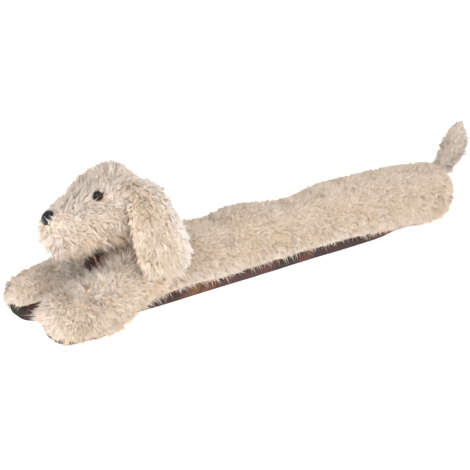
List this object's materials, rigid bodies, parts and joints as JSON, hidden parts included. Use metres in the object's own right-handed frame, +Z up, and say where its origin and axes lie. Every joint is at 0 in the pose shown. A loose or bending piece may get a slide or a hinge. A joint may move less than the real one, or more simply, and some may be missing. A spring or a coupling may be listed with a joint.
{
  "type": "draught excluder",
  "caption": "Long stuffed plush dog that lies along the foot of a door to keep draughts out, with check cloth underneath and under its paws.",
  "frame": {"origin": "on the floor under the middle of the tube, on the flat underside of the check cloth", "axes": "+X along the tube from the nose to the tail, +Y toward the dog's right side, +Z up"},
  "size_m": [0.9572, 0.2046, 0.2412],
  "materials": {
    "plush": "long tufted pile",
    "check_cloth": "brushed woven check",
    "black_bead": "gloss"
  },
  "bodies": {
    "root": {"body": "plush", "head": "plush", "ear_left": "plush", "ear_right": "plush", "paw_left": "plush", "paw_right": "plush", "tail": "plush", "base_panel": "check_cloth", "chest_panel": "check_cloth", "sole_left": "check_cloth", "sole_right": "check_cloth", "nose": "black_bead", "eye_left": "black_bead", "eye_right": "black_bead"}
  },
  "joints": []
}
